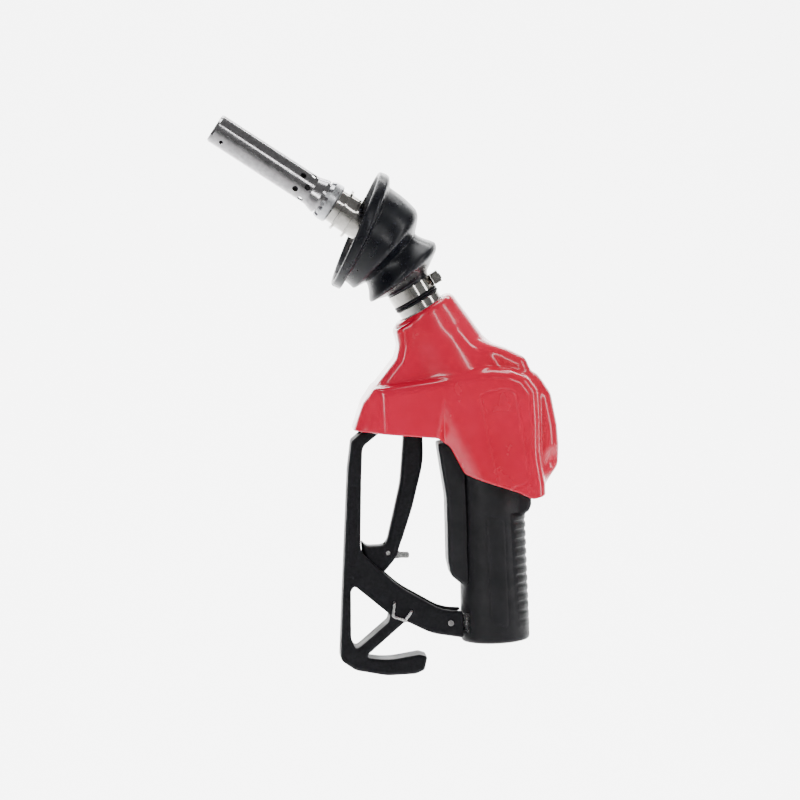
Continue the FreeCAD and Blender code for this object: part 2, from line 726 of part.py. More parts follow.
def make_guard_bracket():
    """The plated strap on the handle that the guard's lower end is pinned to."""
    strap = doc.addObject("PartDesign::Body", "bracket_strap")
    sketch = new_sketch(strap)
    draw_polygon(sketch, [("Dims.grip_od / 2 + 0.05", 8.4), (25.2, 8.4), (25.2, 21.2),
                          ("Dims.grip_od / 2 + 0.05", 21.2)])
    turned = add_revolution(strap, sketch)
    turned.Angle = 76
    turned.Midplane = True
    strap.Placement = FreeCAD.Placement(Vector(0, 0, 0), FreeCAD.Rotation(Vector(0, 0, 1), 180))
    tongue = doc.addObject("PartDesign::Body", "bracket_tongue")
    outline = new_sketch(tongue)
    draw_outline(outline, [(-24.6, 9.5), (-24.6, 20.5), (-31, 19.5, 4), (-34.6, 15, 2), (-31, 10.5, 4)])
    add_pad(tongue, outline, 8.0)
    hole = new_sketch(tongue)
    draw_circle(hole, -31.0, 15.0, 2.05)
    add_pocket(tongue, hole, 20.0)
    keep("guard_bracket", fuse("guard_bracket", [strap, tongue]))


make_guard_bracket()
keep("guard_pin", cylinder("guard_pin", 2.0, 27.0, along(Vector(-31, -13.5, 15), Vector(0, 1, 0))))


def make_guard_screws():
    """One pan-head screw from each side into the casting's ear."""
    screws = []
    for side in (-1, 1):
        inward = Vector(0, -side, 0)
        shank = cylinder("guard_screw_shank_%d" % (side + 1), 2.5, 12.0,
                         along(Vector(-78.5, side * 12.5, 156), inward))
        head = cylinder("guard_screw_head_%d" % (side + 1), 4.2, 2.4,
                        along(Vector(-78.5, side * 14.9, 156), inward))
        screws.append(fuse("guard_screw_%d" % (side + 1), [shank, head]))
    group("guard_screws", screws)


make_guard_screws()


def wire_shape(points, radius, wire_radius):
    """Round wire along straight runs joined by arcs; points are 3-D."""
    edges = [Part.LineSegment(points[0], points[1]).toShape()]
    for index in range(1, len(points) - 1):
        place = points[index]
        back = (points[index - 1] - place).normalize()
        ahead = (points[index + 1] - place).normalize()
        half = back.getAngle(ahead) / 2
        reach = radius / math.tan(half)
        middle = (back + ahead).normalize()
        centre = place + middle * (radius / math.sin(half))
        start = place + back * reach
        end = place + ahead * reach
        previous = edges.pop()
        begin = previous.Vertexes[0].Point
        edges.append(Part.LineSegment(begin, start).toShape())
        edges.append(Part.Arc(start, centre - middle * radius, end).toShape())
        edges.append(Part.LineSegment(end, points[index + 1]).toShape())
    spine = Part.Wire(edges)
    section = Part.Wire(Part.Circle(points[0], (points[1] - points[0]).normalize(), wire_radius).toShape())
    return spine.makePipeShell([section], True, True, 2)


staple = doc.addObject("Part::Feature", "hold_open_staple")
STAPLE_FACE = -size("guard_width") / 2 - size("wire_od") / 2 - 0.1
staple.Shape = wire_shape([
    Vector(-68.9, 11.0, 30.7), Vector(-68.9, STAPLE_FACE, 30.7), Vector(-70.4, STAPLE_FACE, 21.6),
    Vector(-62.2, STAPLE_FACE, 18.6), Vector(-57.6, STAPLE_FACE, 24.2), Vector(-57.6, 11.0, 24.2)],
    1.4, size("wire_od") / 2)
keep("hold_open_staple", staple)

# ---------------------------------------------------------------- lever and hold-open clip

PIVOT = (size("pivot_x"), size("pivot_z"))
CLIP_PIVOT = (-71.5, 64.5)


def make_lever():
    """The squeeze lever: forked head on the plunger's eye, curved shank and a tail in the guard."""
    body = new_body("lever")
    sketch = new_sketch(body)
    draw_outline(sketch, [
        (-59.0, 175.0, 6.5), (-57.8, 142.0, 40), (-61.3, 111.8, 90), (-68.0, 86.5, 60), (-72.6, 69.6, 7),
        (-86.0, 69.8, 8), (-89.6, 74.0, 1.5), (-88.2, 58.0, 6), (-76.0, 49.5, 5), (-66.0, 60.0, 20),
        (-53.6, 94.0, 90), (-44.6, 126.0, 60), (-44.3, 160.0, 20), (-45.0, 175.0, 6.5)])
    add_pad(body, sketch, "Dims.lever_width")
    cut_window(body, [(-65.0, 157.0), (-38.0, 157.0), (-38.0, 180.0), (-65.0, 180.0)], 8.6)
    cut_holes(body, [("Dims.pivot_x", "Dims.pivot_z", "Dims.pivot_pin / 2 + Dims.slip"),
                     (CLIP_PIVOT[0], CLIP_PIVOT[1], 1.55)], 40.0)
    cut_window(body, [(-77.0, 72.5, 3), (-79.5, 58.0, 3), (-72.0, 40.0), (-50.0, 40.0), (-50.0, 72.5),
                      (-66.0, 72.5)], 8.6)
    return body


make_lever()
keep("lever_pin", cylinder("lever_pin", "Dims.pivot_pin / 2", 19.0,
                           along(Vector(PIVOT[0], -9.5, PIVOT[1]), Vector(0, 1, 0))))


def make_pin_rings():
    """Retaining rings on the ends of the lever pin."""
    rings = []
    for side in (-1, 1):
        start = Vector(PIVOT[0], side * 8.5 - 0.4, PIVOT[1])
        disc = cylinder("pin_ring_disc_%d" % (side + 1), 4.4, 0.8, along(start, Vector(0, 1, 0)))
        bore = cylinder("pin_ring_bore_%d" % (side + 1), 2.52, 0.8, along(start, Vector(0, 1, 0)))
        rings.append(cut("pin_ring_%d" % (side + 1), disc, bore))
    group("pin_rings", rings)


make_pin_rings()


def make_clip():
    """The plated hold-open clip with a thumb tab and a short pawl."""
    body = flat_part("hold_open_clip", [
        (-74.4, 66.8, 2.6), (-75.0, 61.6, 2.0), (-71.0, 59.6, 1.0), (-62.6, 60.2, 1.2), (-57.0, 59.8, 1.4),
        (-56.8, 64.0, 1.4), (-63.0, 64.4, 1.5), (-69.0, 68.2, 2.4)], 6.0)
    cut_holes(body, [(CLIP_PIVOT[0], CLIP_PIVOT[1], 1.55)], 20.0)


make_clip()
coil("clip_spring", 2.3, 0.25, 0.56, 0.56,
     along(Vector(CLIP_PIVOT[0], 3.3, CLIP_PIVOT[1]), Vector(0, 1, 0)))
keep("clip_pin", cylinder("clip_pin", 1.5, 15.4,
                          along(Vector(CLIP_PIVOT[0], -7.7, CLIP_PIVOT[1]), Vector(0, 1, 0))))

# ---------------------------------------------------------------- main valve, along X

flat_hex = doc.addObject("Part::Prism", "packing_nut_hex")
flat_hex.Polygon = 6
flat_hex.Circumradius = 6.6
flat_hex.Height = 2.2
flat_hex.Placement = along(Vector(-37.7, 0, size("valve_z")), Vector(1, 0, 0))
nut_thread = cylinder("packing_nut_thread", 5.95, 6.5,
                      along(Vector(-35.5, 0, size("valve_z")), Vector(1, 0, 0)))
nut_bore = cylinder("packing_nut_bore", "Dims.stem_od / 2 + Dims.slip", 12.0,
                    along(Vector(-39, 0, size("valve_z")), Vector(1, 0, 0)))
keep("packing_nut", cut("packing_nut", fuse("packing_nut_solid", [flat_hex, nut_thread]), nut_bore))
ring_part("stem_packing", "Dims.stem_od / 2 + Dims.slip", 5.9, -28.9, -23.6, VALVE_FRAME)
turned_part("main_stem", [
    (0, -43.9), (2.2, -43.9), ("Dims.stem_od / 2", -42.8), ("Dims.stem_od / 2", 0.0), (2.2, 0.0),
    (2.2, 5.2), ("Dims.stem_od / 2", 5.2), ("Dims.stem_od / 2", 27.6), (2.0, 27.6), (2.0, 30.2), (0, 30.2)],
    VALVE_FRAME)
SEAT_X = 3.0
turned_part("main_poppet", [
    (2.22, SEAT_X - 2.9), (9.4, SEAT_X - 2.9), (9.4, SEAT_X + 2.0), (13.4, SEAT_X + 2.0),
    (13.4, SEAT_X + 5.0),
    (6.6, SEAT_X + 5.0), (6.6, SEAT_X + 2.1), (2.22, SEAT_X + 2.1)], VALVE_FRAME)
ring_part("poppet_seal", 9.42, 12.8, SEAT_X + 0.06, SEAT_X + 1.98, VALVE_FRAME)
ring_part("vapor_disc", 2.02, 6.2, 27.7, 29.8, VALVE_FRAME)
coil("main_spring", 9.0, 0.8, 3.6, 14.4, along(Vector(SEAT_X + 5.9, 0, size("valve_z")), Vector(1, 0, 0)))
turned_part("poppet_cap", [
    ("Dims.stem_od / 2 + Dims.slip", 24.3), (15.45, 24.3), (15.45, 34.2), (17.6, 34.2), (17.6, 37.4),
    (8.6, 37.4), (8.6, 26.6), ("Dims.stem_od / 2 + Dims.slip", 26.6)], VALVE_FRAME)
turned_part("vapor_plug", [(0, 37.0), (8.55, 37.0), (8.55, 37.5), (9.8, 37.5), (9.8, 39.0),
                           (0, 39.0)], VALVE_FRAME)
coil("vapor_spring", 4.4, 0.45, 1.9, 5.8, along(Vector(30.5, 0, size("valve_z")), Vector(1, 0, 0)))

# ---------------------------------------------------------------- lever latch, along X


def make_plunger():
    """The latch plunger: an eye for the lever pin on a sleeve with ball holes."""
    shank = ring_part("plunger_shank", 2.0, "5.0", -43.0, -31.0, PIVOT_FRAME)
    del nodes["plunger_shank"]
    eye = doc.addObject("PartDesign::Body", "plunger_eye")
    sketch = new_sketch(eye)
    draw_outline(sketch, [(-41.0, 164.6), (-41.0, 171.4), (-46.6, 172.6, 3), (-52.0, 172.8, 3.5),
                          (-56.8, 172.0, 3.8),
                          (-56.8, 164.0, 3.8), (-52.0, 163.2, 3.5), (-46.6, 163.4, 3)])
    add_pad(eye, sketch, 8.2)
    cut_holes(eye, [("Dims.pivot_x", "Dims.pivot_z", "Dims.pivot_pin / 2 + Dims.slip")], 20.0)
    drills = []
    for turn in (90, 210, 330):
        radial = Vector(0, math.cos(math.radians(turn)), math.sin(math.radians(turn)))
        drills.append(cylinder("ball_hole_%d" % turn, 1.55, 8.0,
                               along(Vector(-33.2, 0, size("pivot_z")), radial)))
    solid = fuse("plunger_solid", [shank, eye])
    keep("latch_plunger", cut("latch_plunger", solid, fuse("ball_holes", drills)))


make_plunger()


def make_latch_balls():
    """Three locking balls in the plunger's holes."""
    balls = []
    for turn in (90, 210, 330):
        radial = Vector(0, math.cos(math.radians(turn)), math.sin(math.radians(turn)))
        ball = doc.addObject("Part::Sphere", "latch_ball_%d" % turn)
        ball.Radius = 1.5
        ball.Placement = FreeCAD.Placement(Vector(-33.2, 0, size("pivot_z")) + radial * 3.45,
                                           FreeCAD.Rotation())
        balls.append(ball)
    group("latch_balls", balls)


make_latch_balls()
turned_part("plunger_guide", [
    ("5.0 + Dims.slip", -35.4), (11.5, -35.4), (11.5, -31.9), (7.2, -31.9), (7.2, -30.2),
    ("5.0 + Dims.slip", -30.2)],
    PIVOT_FRAME)
turned_part("latch_pin", [
    (0, -38.5), (1.85, -38.5), (1.85, -30.6), (4.2, -30.6), (4.2, -29.9), (0, -29.9)], PIVOT_FRAME)
ring_part("diaphragm", 0, 11.4, -29.85, -29.1, PIVOT_FRAME)
coil("latch_spring", 3.4, 0.4, 1.08, 2.7, along(Vector(-28.4, 0, size("pivot_z")), Vector(1, 0, 0)))


def make_guide_screws():
    """Four screws that clamp the plunger guide over the diaphragm."""
    screws = []
    for turn in (45, 135, 225, 315):
        radial = Vector(0, math.cos(math.radians(turn)), math.sin(math.radians(turn)))
        start = Vector(-36.6, 0, size("pivot_z")) + radial * 8.9
        screws.append(cylinder("guide_screw_%d" % turn, 1.6, 1.15, along(start, Vector(1, 0, 0))))
    group("guide_screws", screws)


make_guide_screws()

# ---------------------------------------------------------------- spout check valve, along the neck

ring_part("check_seat", 8.0, 11.95, -46.0, -42.0, NECK_FRAME)
turned_part("check_valve", [
    (0, -47.0), (7.4, -41.9), (9.6, -41.9), (9.6, -39.6), (2.4, -39.6), (2.4, -26.0),
    (0, -26.0)], NECK_FRAME)
coil("check_spring", 8.6, 0.5, 5.1, 20.4, along(NECK_POINT - NECK_DIR * 39.0, NECK_DIR))

# ---------------------------------------------------------------- pull-on cover

COVER_OUTLINE = [
    (-61.0, 218.0, 2), (-59.0, 222.0), (-20.5, 242.0), (-14.0, 231.5, 8), (-3.0, 207.0, 8),
    (14.0, 200.0, 20),
    (29.0, 192.0, 6), (31.0, 184.0, 6), (42.0, 174.0, 12), (47.6, 146.0, 30), (47.8, 121.0, 12),
    (36.0, 105.0, 14), (25.4, 96.0, 3), (15.0, 101.8, 6), (-17.5, 112.8, 5), (-29.0, 138.6, 7),
    (-90.8, 148.0, 1.5), (-83.6, 167.0, 30), (-61.0, 196.5, 10), (-58.0, 208.0, 8)]
SLAB_OUTLINE = [
    (-74.0, 147.0, 4), (-76.5, 170.0, 10), (-66.0, 180.0, 6), (1.0, 187.6, 14), (33.0, 179.0, 12),
    (34.0, 140.0, 30), (36.0, 107.0, 6), (24.0, 97.0, 3), (-17.0, 113.4, 6), (-29.0, 139.4, 7)]


def inset_outline(corners, distance):
    """The outline moved inward by distance, its corner radii kept concentric."""
    places = [Vector(corner[0], corner[1], 0) for corner in corners]
    count = len(places)
    area = sum(places[index - 1].cross(places[index]).z for index in range(count))
    side = 1.0 if area > 0 else -1.0
    result = []
    for index, place in enumerate(places):
        before = (place - places[index - 1]).normalize()
        after = (places[(index + 1) % count] - place).normalize()
        inward = [Vector(-run.y, run.x, 0) * side for run in (before, after)]
        shift = (inward[0] + inward[1]) * (distance / (1 + inward[0].dot(inward[1])))
        is_convex = before.cross(after).z * side > 0
        radius = corners[index][2] if len(corners[index]) > 2 else 0.0
        radius = radius - distance if is_convex else radius + distance
        moved = place + shift
        result.append((moved.x, moved.y, max(radius, 0.0)))
    return result


def extruded(name, corners, width, inset=False):
    """A block across Y from a rounded outline, or the room one cover wall inside it."""
    body = doc.addObject("PartDesign::Body", name)
    sketch = new_sketch(body)
    wall = size("cover_wall")
    draw_outline(sketch, inset_outline(corners, wall) if inset else corners)
    add_pad(body, sketch, width + (" - 2 * Dims.cover_wall" if inset else ""))
    return body


def make_cover():
    """The vinyl shell: wide side slabs on a narrower silhouette, open at the neck and below."""
    neck_outer = doc.addObject("Part::Cone", "cover_neck")
    neck_outer.Radius1 = 27.0
    neck_outer.Radius2 = 22.6
    neck_outer.Height = 44.0
    neck_outer.Placement = along(NECK_POINT - NECK_DIR * 44.0, NECK_DIR)
    outer = fuse("cover_outer", [
        extruded("cover_mid", COVER_OUTLINE, "Dims.cover_mid_width"),
        extruded("cover_slab", SLAB_OUTLINE, "Dims.cover_width"),
        neck_outer])
    trim = cylinder("cover_trim", 40.0, 20.0, along(NECK_POINT + NECK_DIR * 0.01, NECK_DIR))
    neck_inner = doc.addObject("Part::Cone", "cover_neck_room")
    neck_inner.Radius1 = 24.0
    neck_inner.Radius2 = 19.4
    neck_inner.Height = 46.0
    neck_inner.Placement = along(NECK_POINT - NECK_DIR * 44.0, NECK_DIR)
    room = fuse("cover_room", [
        extruded("cover_mid_room", COVER_OUTLINE, "Dims.cover_mid_width", inset=True),
        extruded("cover_slab_room", SLAB_OUTLINE, "Dims.cover_width", inset=True),
        neck_inner,
        block("cover_lever_mouth", (-86.5, -17.0, 130.0), (-33.0, 17.0, 154.0)),
        cylinder("cover_grip_mouth", 24.6, 60.0, along(Vector(0, 0, 80), Vector(0, 0, 1))),
        block("cover_finger_mouth", (-37.0, -16.0, 100.0), (-10.0, 16.0, 145.0)),
        trim])
    keep("scuff_cover", cut("scuff_cover", outer, room))


make_cover()

# ---------------------------------------------------------------- check and write

doc.recompute()
for item in doc.Objects:
    if "Invalid" in item.State or "Error" in item.State:
        raise RuntimeError("failed feature: %s %s" % (item.Label, item.State))

os.makedirs("parts", exist_ok=True)
for label, item in sorted(nodes.items()):
    shape = item.Shape
    if shape.isNull() or not shape.isValid() or not shape.Solids:
        raise RuntimeError("bad shape: " + label)
    shape.exportStep(os.path.join("parts", label + ".step"))
    print("%-18s solids %d volume %9.1f" % (label, len(shape.Solids), shape.Volume))
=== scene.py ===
import json
import math

import bpy
import numpy as np
import openvdb
from mathutils import Matrix, Vector


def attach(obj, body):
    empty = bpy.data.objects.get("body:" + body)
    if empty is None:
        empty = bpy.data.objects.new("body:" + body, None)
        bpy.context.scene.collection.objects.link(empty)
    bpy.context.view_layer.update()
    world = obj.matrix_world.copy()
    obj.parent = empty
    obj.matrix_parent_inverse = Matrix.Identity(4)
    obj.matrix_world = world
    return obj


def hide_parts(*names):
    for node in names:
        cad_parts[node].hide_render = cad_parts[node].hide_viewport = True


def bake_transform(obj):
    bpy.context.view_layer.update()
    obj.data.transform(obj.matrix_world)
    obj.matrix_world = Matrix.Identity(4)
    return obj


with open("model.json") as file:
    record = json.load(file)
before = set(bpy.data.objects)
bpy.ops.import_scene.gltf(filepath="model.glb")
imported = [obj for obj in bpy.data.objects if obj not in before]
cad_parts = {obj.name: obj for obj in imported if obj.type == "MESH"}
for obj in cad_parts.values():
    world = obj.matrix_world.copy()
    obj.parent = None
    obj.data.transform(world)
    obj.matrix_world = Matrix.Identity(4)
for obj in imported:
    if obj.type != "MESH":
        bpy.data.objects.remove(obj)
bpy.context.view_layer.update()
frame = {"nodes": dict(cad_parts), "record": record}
MM = 0.001
# Voxel edge of the distance fields in millimetres.
FINE = 0.45

# ---------------------------------------------------------------- shared places, millimetres

# Slopes are in degrees above -X, in the XZ plane.
SPOUT_SLOPE = 35.4
NECK_SLOPE = 61.6
NECK_DIR = Vector((-math.cos(math.radians(NECK_SLOPE)), 0.0, math.sin(math.radians(NECK_SLOPE))))
NECK_POINT = Vector((-41.4, 0.0, 229.7))


def facing_out(places, quads):
    """The quads of a closed skin, turned over if they face inwards."""
    corner = [places[quads[:, index]] for index in range(3)]
    if np.einsum("ij,ij->", corner[0], np.cross(corner[1], corner[2])) < 0:
        return quads[:, ::-1]
    return quads


def solid_mesh(name, places, quads):
    """A smooth-shaded quad mesh object from arrays in metres."""
    mesh = bpy.data.meshes.new(name)
    mesh.vertices.add(len(places))
    mesh.vertices.foreach_set("co", np.ascontiguousarray(places, dtype=np.float32).ravel())
    mesh.loops.add(4 * len(quads))
    mesh.loops.foreach_set("vertex_index", np.ascontiguousarray(quads, dtype=np.int32).ravel())
    mesh.polygons.add(len(quads))
    mesh.polygons.foreach_set("loop_start", np.arange(0, 4 * len(quads), 4, dtype=np.int32))
    mesh.update(calc_edges=True)
    mesh.polygons.foreach_set("use_smooth", np.ones(len(quads), dtype=bool))
    piece = bpy.data.objects.new(name, mesh)
    bpy.context.scene.collection.objects.link(piece)
    return piece


# ---------------------------------------------------------------- camera, floor and light

def place_camera():
    """A long lens, a little above the part and to its spout's side."""
    target = Vector((-58.6, 0.0, 167.8)) * MM
    distance = 2.418
    azimuth, elevation, lean = math.radians(-3.5), math.radians(4.6), math.radians(2.4)
    back = Vector((math.sin(azimuth) * math.cos(elevation),
                   -math.cos(azimuth) * math.cos(elevation), math.sin(elevation)))
    data = bpy.data.cameras.new("camera")
    data.lens = 160.0
    data.sensor_width = 36.0
    data.clip_end = 50.0
    camera = bpy.data.objects.new("camera", data)
    bpy.context.scene.collection.objects.link(camera)
    turn = (-back).to_track_quat("-Z", "Y").to_matrix()
    camera.matrix_world = (Matrix.Translation(target + back * distance)
                           @ (turn @ Matrix.Rotation(-lean, 3, "Z")).to_4x4())
    bpy.context.scene.camera = camera


def stage_material(name, colour, roughness):
    """A plain matt material for the sweep."""
    material = bpy.data.materials.new(name)
    material.use_nodes = True
    shader = material.node_tree.nodes["Principled BSDF"]
    shader.inputs["Base Color"].default_value = (*colour, 1.0)
    shader.inputs["Roughness"].default_value = roughness
    shader.inputs["Specular IOR Level"].default_value = 0.1
    return material


def make_stage():
    """A pale sweep: a wide floor, a curved rise and a back wall."""
    floor_z, front_y, back_y, bend, top, half_width = -0.6, -6.0, 3.6, 1.2, 4.5, 6.0
    steps = 12
    profile = [(front_y, floor_z)]
    for step in range(steps + 1):
        angle = math.radians(90.0 * step / steps)
        profile.append((back_y - bend + bend * math.sin(angle), floor_z + bend - bend * math.cos(angle)))
    profile.append((back_y, top))
    row = len(profile)
    places = np.array([(x, y, z) for x in (-half_width, half_width) for y, z in profile])
    quads = np.array([(step, step + 1, row + step + 1, row + step) for step in range(row - 1)])
    sweep = solid_mesh("sweep", places, quads)
    sweep.data.materials.append(stage_material("sweep_paint", (0.93, 0.93, 0.93), 0.9))


def add_area(name, place, aim, size, power):
    """One soft rectangular light aimed at a point, all in metres."""
    data = bpy.data.lights.new(name, "AREA")
    data.shape = "RECTANGLE"
    data.size, data.size_y = size
    data.energy = power
    light = bpy.data.objects.new(name, data)
    bpy.context.scene.collection.objects.link(light)
    light.location = place
    light.rotation_mode = "QUATERNION"
    light.rotation_quaternion = (Vector(aim) - Vector(place)).to_track_quat("-Z", "Y")
    return light


def make_lights():
    """Three tall strip boxes, a top box, a wash on the back wall and a dim white surround."""
    aim = (-0.06, 0.0, 0.17)
    add_area("key_strip", (-1.1, -1.6, 0.75), aim, (0.22, 1.6), 12.0)
    add_area("rim_strip", (1.35, -0.55, 0.55), aim, (0.2, 1.5), 8.0)
    add_area("front_strip", (0.75, -2.1, 0.9), aim, (0.16, 1.4), 7.0)
    add_area("top_box", (-0.1, 0.1, 1.6), aim, (1.2, 0.5), 12.0)
    wall = add_area("wall_wash", (0.0, 2.0, 2.8), (0.0, 3.6, 0.0), (5.0, 1.2), 700.0)
    wall.data.spread = math.radians(150)
    world = bpy.data.worlds.new("studio")
    bpy.context.scene.world = world
    world.use_nodes = True
    background = world.node_tree.nodes["Background"]
    background.inputs["Color"].default_value = (1.0, 1.0, 1.0, 1.0)
    background.inputs["Strength"].default_value = 0.2


place_camera()
make_stage()
make_lights()


# ---------------------------------------------------------------- materials

class Finish:
    """A node material built step by step on one Principled shader."""

    def __init__(self, name, colour, roughness, metallic=0.0):
        self.material = bpy.data.materials.new(name)
        self.material.use_nodes = True
        self.tree = self.material.node_tree
        self.shader = self.tree.nodes["Principled BSDF"]
        self.shader.inputs["Base Color"].default_value = (*colour, 1.0)
        self.shader.inputs["Roughness"].default_value = roughness
        self.shader.inputs["Metallic"].default_value = metallic
        self.place = self.tree.nodes.new("ShaderNodeTexCoord").outputs["Object"]
        self.height = None

    def noise(self, scale, detail=3.0, roughness=0.5, stretch=None):
        """A noise pattern at scale per metre; stretch is a pair of scale and rotation triples."""
        texture = self.tree.nodes.new("ShaderNodeTexNoise")
        texture.inputs["Scale"].default_value = scale
        texture.inputs["Detail"].default_value = detail
        texture.inputs["Roughness"].default_value = roughness
        source = self.place
        if stretch is not None:
            mapping = self.tree.nodes.new("ShaderNodeMapping")
            mapping.inputs["Scale"].default_value, mapping.inputs["Rotation"].default_value = stretch
            self.tree.links.new(source, mapping.inputs["Vector"])
            source = mapping.outputs["Vector"]
        self.tree.links.new(source, texture.inputs["Vector"])
        return texture.outputs["Fac"]

    def ramp(self, source, low, high, start=0.35, end=0.65):
        """source mapped from start..end onto the values or colours low..high."""
        if isinstance(low, tuple):
            node = self.tree.nodes.new("ShaderNodeValToRGB")
            node.color_ramp.elements[0].position = start
            node.color_ramp.elements[1].position = end
            node.color_ramp.elements[0].color = (*low, 1.0)
            node.color_ramp.elements[1].color = (*high, 1.0)
            self.tree.links.new(source, node.inputs["Fac"])
            return node.outputs["Color"]
        node = self.tree.nodes.new("ShaderNodeMapRange")
        node.inputs["From Min"].default_value = start
        node.inputs["From Max"].default_value = end
        node.inputs["To Min"].default_value = low
        node.inputs["To Max"].default_value = high
        self.tree.links.new(source, node.inputs["Value"])
        return node.outputs["Result"]

    def vary_colour(self, low, high, source, start=0.35, end=0.65):
        """Base colour between two tones."""
        self.tree.links.new(self.ramp(source, low, high, start, end), self.shader.inputs["Base Color"])
        return self

    def vary_roughness(self, low, high, source, start=0.35, end=0.65):
        """Roughness between two values."""
        self.tree.links.new(self.ramp(source, low, high, start, end), self.shader.inputs["Roughness"])
        return self

    def bump(self, source, strength, distance):
        """Add a bump; several bumps chain."""
        node = self.tree.nodes.new("ShaderNodeBump")
        node.inputs["Strength"].default_value = strength
        node.inputs["Distance"].default_value = distance
        self.tree.links.new(source, node.inputs["Height"])
        if self.height is not None:
            self.tree.links.new(self.height, node.inputs["Normal"])
        self.height = node.outputs["Normal"]
        self.tree.links.new(self.height, self.shader.inputs["Normal"])
        return self

    def set(self, **values):
        """Plain values on the shader's own sockets, named with underscores."""
        for name, value in values.items():
            self.shader.inputs[name.replace("_", " ")].default_value = value
        return self


def vinyl_red():
    """Dipped glossy vinyl: even crimson, faint orange peel, a clear wet gloss."""
    finish = Finish("cover_vinyl", (0.76, 0.002, 0.04), 0.22)
    finish.vary_colour((0.74, 0.002, 0.036), (0.84, 0.004, 0.052), finish.noise(22.0, 4.0))
    finish.vary_roughness(0.16, 0.28, finish.noise(60.0, 5.0))
    finish.bump(finish.noise(180.0, 2.0), 0.05, 0.0006)
    finish.bump(finish.noise(1400.0, 2.0), 0.04, 0.0001)
    return finish.set(IOR=1.5, Coat_Weight=0.55, Coat_Roughness=0.04).material


def boot_rubber():
    """Moulded rubber with a soft shine and a faint bloom."""
    finish = Finish("boot_rubber", (0.012, 0.013, 0.017), 0.3)
    finish.vary_colour((0.003, 0.004, 0.007), (0.007, 0.008, 0.012), finish.noise(35.0, 5.0))
    finish.vary_roughness(0.24, 0.36, finish.noise(120.0, 5.0))
    finish.bump(finish.noise(900.0, 3.0), 0.06, 0.0002)
    return finish.set(IOR=1.42).material


def grip_rubber():
    """Matt moulded grip with a fine sandblasted texture."""
    finish = Finish("grip_rubber", (0.016, 0.017, 0.020), 0.55)
    finish.vary_colour((0.004, 0.004, 0.006), (0.009, 0.009, 0.012), finish.noise(60.0, 6.0))
    finish.vary_roughness(0.42, 0.58, finish.noise(200.0, 5.0))
    finish.bump(finish.noise(2600.0, 3.0), 0.25, 0.0002)
    return finish.set(IOR=1.42).material


def powder_black(name, grain, roughness):
    """Satin black coat over a casting: fine grain, a few paler rubbed spots."""
    finish = Finish(name, (0.014, 0.015, 0.018), roughness)
    spots = finish.noise(500.0, 6.0, 0.7)
    finish.vary_colour((0.003, 0.003, 0.005), (0.012, 0.012, 0.015), spots, 0.3, 0.75)
    finish.vary_roughness(roughness - 0.07, roughness + 0.1, finish.noise(90.0, 5.0))
    finish.bump(finish.noise(1500.0, 4.0, 0.7), grain, 0.0002)
    finish.bump(finish.noise(70.0, 3.0), 0.05, 0.001)
    return finish.set(IOR=1.3).material


def metal(name, low, high, roughness, grain=300.0, bump=0.03, stretch=None):
    """A metal with slight tone and roughness variation and fine surface marks."""
    finish = Finish(name, low, roughness, metallic=1.0)
    finish.vary_colour(low, high, finish.noise(grain * 0.4, 4.0))
    finish.vary_roughness(roughness * 0.7, roughness * 1.4, finish.noise(grain, 5.0, 0.6, stretch))
    finish.bump(finish.noise(grain * 3.0, 3.0, 0.6, stretch), bump, 0.00001)
    return finish.material


ALONG_SPOUT = ((0.06, 1.0, 1.0), (0.0, math.radians(SPOUT_SLOPE), 0.0))
MATERIALS = {
    "spout_steel": metal("spout_steel", (0.36, 0.35, 0.36), (0.46, 0.45, 0.46), 0.16, 900.0, 0.05,
                         ALONG_SPOUT),
    "zinc": metal("zinc", (0.56, 0.57, 0.59), (0.68, 0.69, 0.71), 0.34, 500.0, 0.12),
    "nickel": metal("nickel", (0.48, 0.46, 0.43), (0.60, 0.58, 0.55), 0.12, 700.0, 0.05),
    "plated_steel": metal("plated_steel", (0.60, 0.60, 0.60), (0.74, 0.73, 0.71), 0.25, 600.0, 0.06),
    "casting": metal("casting", (0.50, 0.50, 0.51), (0.60, 0.60, 0.61), 0.5, 300.0, 0.3),
    "machined": metal("machined", (0.62, 0.62, 0.63), (0.72, 0.72, 0.73), 0.25, 800.0, 0.08),
    "brass": metal("brass", (0.66, 0.47, 0.20), (0.76, 0.57, 0.27), 0.22, 500.0, 0.05),
    "spring_steel": metal("spring_steel", (0.42, 0.42, 0.44), (0.52, 0.52, 0.54), 0.3, 900.0, 0.06),
    "cover_vinyl": vinyl_red(),
    "boot_rubber": boot_rubber(),
    "grip_rubber": grip_rubber(),
    "guard_black": powder_black("guard_black", 0.35, 0.6),
    "lever_black": powder_black("lever_black", 0.15, 0.52),
    "seal_rubber": powder_black("seal_rubber", 0.10, 0.45),
}
# Nodes inside the spout's mouth, coloured near-black as painted shade.
PAINTED_SHADE_NODES = ("fuel_tube", "vent_tube", "nose_ring")


def finish_cad_nodes():
    """Every carried-over node gets its slot's material; what sits in the spout's mouth gets near-black
    metal as painted shade.
    """
    slots = {row["node"]: row["material_slot"] for row in frame["record"]["subparts"]}
    # Near-black steel that paints in the shade inside the spout's mouth; it is not the parts' own colour.
    painted_shade = metal("painted_shade_steel", (0.05, 0.05, 0.052), (0.08, 0.08, 0.083), 0.5)
    for name, node in frame["nodes"].items():
        node.data.materials.clear()
        node.data.materials.append(painted_shade if name in PAINTED_SHADE_NODES else MATERIALS[slots[name]])


finish_cad_nodes()


# ---------------------------------------------------------------- distance fields, millimetres

